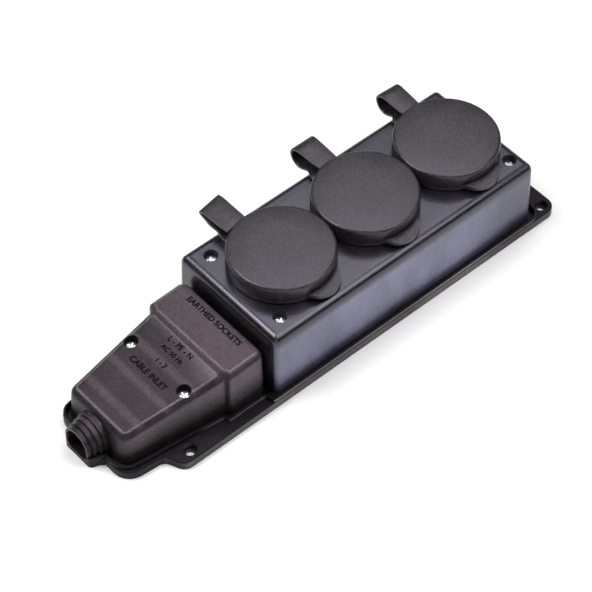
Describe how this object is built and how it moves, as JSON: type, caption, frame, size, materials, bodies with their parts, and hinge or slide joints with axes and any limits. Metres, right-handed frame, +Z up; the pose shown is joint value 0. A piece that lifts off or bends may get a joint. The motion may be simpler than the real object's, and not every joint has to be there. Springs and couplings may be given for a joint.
{
  "type": "earthed socket block",
  "caption": "Long black screw-down socket block: earthed round-pin outlets under hinged flip caps on a raised housing, with a sloping terminal cover and ribbed cable neck.",
  "frame": {"origin": "middle of the block's length on the flat underside of the base tray, under the sockets' centre line", "axes": "+X from the cable mouth to the far ears, +Y to the side with the cap straps, +Z up out of the sockets"},
  "size_m": [0.2768, 0.0878, 0.0538],
  "materials": {
    "case_plastic": "fine moulded grain, satin",
    "cap_rubber": "matt",
    "insert_plastic": "satin",
    "carrier_plastic": "satin",
    "zinc_steel": "bright zinc",
    "brass": "stamped",
    "nickel_brass": "nickel plated"
  },
  "bodies": {
    "block": {"base_tray": "case_plastic", "socket_housing": "case_plastic", "terminal_cover": "case_plastic", "housing_screw_1": "zinc_steel", "housing_screw_2": "zinc_steel", "housing_screw_3": "zinc_steel", "housing_screw_4": "zinc_steel", "cover_screw_1": "zinc_steel", "cover_screw_2": "zinc_steel", "clamp_screw_1": "zinc_steel", "clamp_screw_2": "zinc_steel", "live_terminal_screw": "zinc_steel", "earth_terminal_screw": "zinc_steel", "neutral_terminal_screw": "zinc_steel", "terminal_carrier": "carrier_plastic", "cable_clamp": "carrier_plastic", "live_busbar": "brass", "live_terminal": "brass", "earth_busbar": "brass", "earth_terminal": "brass", "neutral_busbar": "brass", "neutral_terminal": "brass", "live_contact_1": "brass", "live_contact_2": "brass", "live_contact_3": "brass", "neutral_contact_1": "brass", "neutral_contact_2": "brass", "neutral_contact_3": "brass", "earth_clip_1": "nickel_brass", "earth_clip_2": "nickel_brass", "earth_clip_3": "nickel_brass", "socket_insert_1": "insert_plastic", "socket_insert_2": "insert_plastic", "socket_insert_3": "insert_plastic", "cap_strap_1": "cap_rubber", "cap_strap_2": "cap_rubber", "cap_strap_3": "cap_rubber"},
    "flip_cap_1": {"cap_1": "cap_rubber"},
    "flip_cap_2": {"cap_2": "cap_rubber"},
    "flip_cap_3": {"cap_3": "cap_rubber"}
  },
  "joints": [
    {"name": "cap_1_hinge", "type": "hinge", "parent": "block", "child": "flip_cap_1", "pos_m": [-0.01809, 0.04257, 0.0473], "axis": [-0.9877, -0.1564, 0], "range_deg": [0, 160], "stiffness_Nm_per_rad": 0.0017, "deforming": ["cap_strap_1"]},
    {"name": "cap_2_hinge", "type": "hinge", "parent": "block", "child": "flip_cap_2", "pos_m": [0.04265, 0.0431, 0.0473], "axis": [-1, 0, 0], "range_deg": [0, 160], "stiffness_Nm_per_rad": 0.0017, "deforming": ["cap_strap_2"]},
    {"name": "cap_3_hinge", "type": "hinge", "parent": "block", "child": "flip_cap_3", "pos_m": [0.09853, 0.04306, 0.0473], "axis": [-0.999, 0.0436, 0], "range_deg": [0, 160], "stiffness_Nm_per_rad": 0.0017, "deforming": ["cap_strap_3"]}
  ]
}
